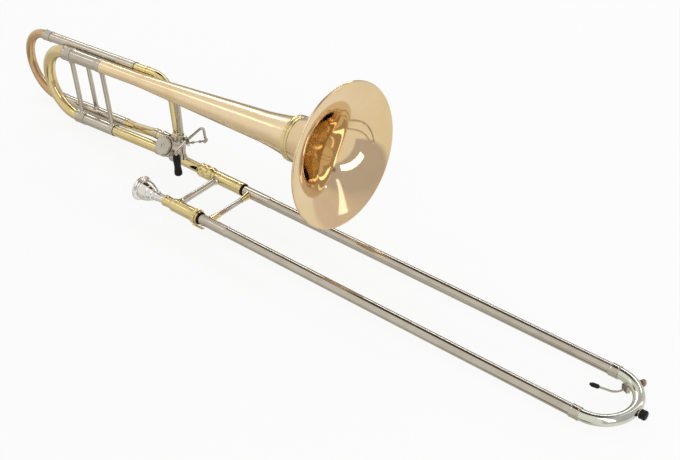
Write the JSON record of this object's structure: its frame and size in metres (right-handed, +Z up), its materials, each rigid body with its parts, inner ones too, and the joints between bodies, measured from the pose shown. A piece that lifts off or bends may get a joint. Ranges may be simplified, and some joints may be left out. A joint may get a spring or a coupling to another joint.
{
  "type": "tenor trombone",
  "caption": "Slide brass instrument: double-tube hand slide, flared bell on a long cone, two tuning slides, rotary valve with thumb lever, cup mouthpiece.",
  "frame": {"origin": "on the upper slide tube's axis, at the joint of hand slide and bell section, where the left hand holds it", "axes": "+X along the hand slide towards its bow, +Y from the mouthpiece's tube towards the other slide tube, +Z up from the slide towards the bell"},
  "size_m": [1.2548, 0.2186, 0.2772],
  "materials": {
    "yellow_brass": "polished lacquered yellow brass",
    "gold_brass": "polished lacquered gold brass, redder than yellow brass",
    "nickel_silver": "polished nickel silver, warm grey",
    "silver_plate": "bright silver plate",
    "black_rubber": "black rubber, satin",
    "natural_cork": "bare cork"
  },
  "bodies": {
    "inner_slide": {"near_barrel": "yellow_brass", "far_barrel": "yellow_brass", "near_barrel_ring": "black_rubber", "far_barrel_ring": "black_rubber", "near_inner_tube": "nickel_silver", "far_inner_tube": "nickel_silver", "mouthpiece_receiver": "yellow_brass", "leadpipe": "yellow_brass", "slide_tenon": "yellow_brass", "inner_slide_brace": "nickel_silver"},
    "slide_lock": {"slide_lock_ring": "yellow_brass"},
    "lock_nut": {"lock_nut": "yellow_brass"},
    "mouthpiece": {"mouthpiece": "silver_plate"},
    "outer_slide": {"near_outer_tube": "nickel_silver", "far_outer_tube": "nickel_silver", "outer_slide_brace": "nickel_silver", "outer_brace_foot_far": "yellow_brass", "outer_brace_foot_near": "yellow_brass", "crook": "nickel_silver", "crook_ferrule_far": "nickel_silver", "crook_ferrule_near": "nickel_silver", "bumper_holder": "nickel_silver", "bumper_rubber": "black_rubber", "water_key_saddle": "nickel_silver", "water_key_nipple": "nickel_silver"},
    "water_key": {"water_key_lever": "nickel_silver", "water_key_cork": "natural_cork", "water_key_tip": "black_rubber"},
    "bell_section": {"gooseneck": "yellow_brass", "valve_casing": "nickel_silver", "valve_cap": "nickel_silver", "valve_back_plate": "nickel_silver", "bell_brace": "nickel_silver", "f_down_pipe": "yellow_brass", "f_upper_sleeve": "nickel_silver", "f_return_pipe": "yellow_brass", "f_lower_sleeve": "nickel_silver", "main_lower_leg": "yellow_brass", "main_lower_sleeve": "nickel_silver", "main_upper_sleeve": "nickel_silver", "bell_stem": "gold_brass", "sleeve_brace": "nickel_silver", "f_brace": "nickel_silver", "stem_ring": "yellow_brass", "lever_saddle": "nickel_silver"},
    "bell_flare": {"bell_flare": "gold_brass", "flare_ring": "yellow_brass"},
    "main_tuning_slide": {"main_bow": "yellow_brass", "main_upper_leg": "nickel_silver", "main_lower_inner_leg": "nickel_silver", "tuning_slide_brace": "nickel_silver"},
    "f_tuning_slide": {"f_bow": "gold_brass", "f_upper_leg": "nickel_silver", "f_lower_leg": "nickel_silver"},
    "rotor": {"rotor": "yellow_brass", "stop_arm": "nickel_silver"},
    "thumb_lever": {"thumb_lever": "nickel_silver", "thumb_grip": "black_rubber", "lever_ball": "nickel_silver"},
    "link_rod": {"link_rod": "nickel_silver"}
  },
  "joints": [
    {"name": "hand_slide", "type": "slide", "parent": "inner_slide", "child": "outer_slide", "axis": [1, 0, 0], "range_m": [0, 0.58]},
    {"name": "slide_lock", "type": "hinge", "parent": "inner_slide", "child": "slide_lock", "pos_m": [0.0555, -0.093, 0], "axis": [-1, 0, 0], "range_deg": [0, 16]},
    {"name": "lock_nut", "type": "hinge", "parent": "inner_slide", "child": "lock_nut", "pos_m": [-0.016, 0, 0], "axis": [1, 0, 0], "continuous": true},
    {"name": "mouthpiece", "type": "slide", "parent": "inner_slide", "child": "mouthpiece", "axis": [-1, 0, 0], "range_m": [0, 0.031]},
    {"name": "bell_section", "type": "hinge", "parent": "inner_slide", "child": "bell_section", "pos_m": [-0.001, 0, 0], "axis": [1, 0, 0], "range_deg": [-20, 20]},
    {"name": "bell_flare", "type": "hinge", "parent": "bell_section", "child": "bell_flare", "pos_m": [0.18409, 0, 0.13861], "axis": [0.9978, 0, 0.0656], "range_deg": [0, 1080]},
    {"name": "main_tuning_slide", "type": "slide", "parent": "bell_section", "child": "main_tuning_slide", "axis": [-0.9978, 0, -0.0656], "range_m": [0, 0.055]},
    {"name": "f_tuning_slide", "type": "slide", "parent": "bell_section", "child": "f_tuning_slide", "axis": [-0.9978, 0, -0.0656], "range_m": [0, 0.11]},
    {"name": "thumb_lever", "type": "hinge", "parent": "bell_section", "child": "thumb_lever", "pos_m": [-0.056, 0, 0.043], "axis": [0, 0, 1], "range_deg": [0, 36], "stiffness_Nm_per_rad": 0.06, "springref_deg": -45.84},
    {"name": "rotor", "type": "hinge", "parent": "bell_section", "child": "rotor", "pos_m": [-0.1028, 0.00602, 0.0086], "axis": [0, -0.8192, 0.5736], "range_deg": [0, 90]},
    {"name": "link_rod", "type": "hinge", "parent": "thumb_lever", "child": "link_rod", "pos_m": [-0.052, 0.035, 0.026], "axis": [0.5951, -0.1138, 0.7956], "range_deg": [-77, 0]},
    {"name": "water_key", "type": "hinge", "parent": "outer_slide", "child": "water_key", "pos_m": [0.73042, -0.01442, -0.006], "axis": [-0.8788, 0.4772, 0], "range_deg": [0, 12], "stiffness_Nm_per_rad": 0.03, "springref_deg": -34.38}
  ],
  "couplings": [
    {"joint": "rotor", "follows": "thumb_lever", "ratio": 2.5},
    {"joint": "link_rod", "follows": "thumb_lever", "ratio": -2.1127}
  ]
}
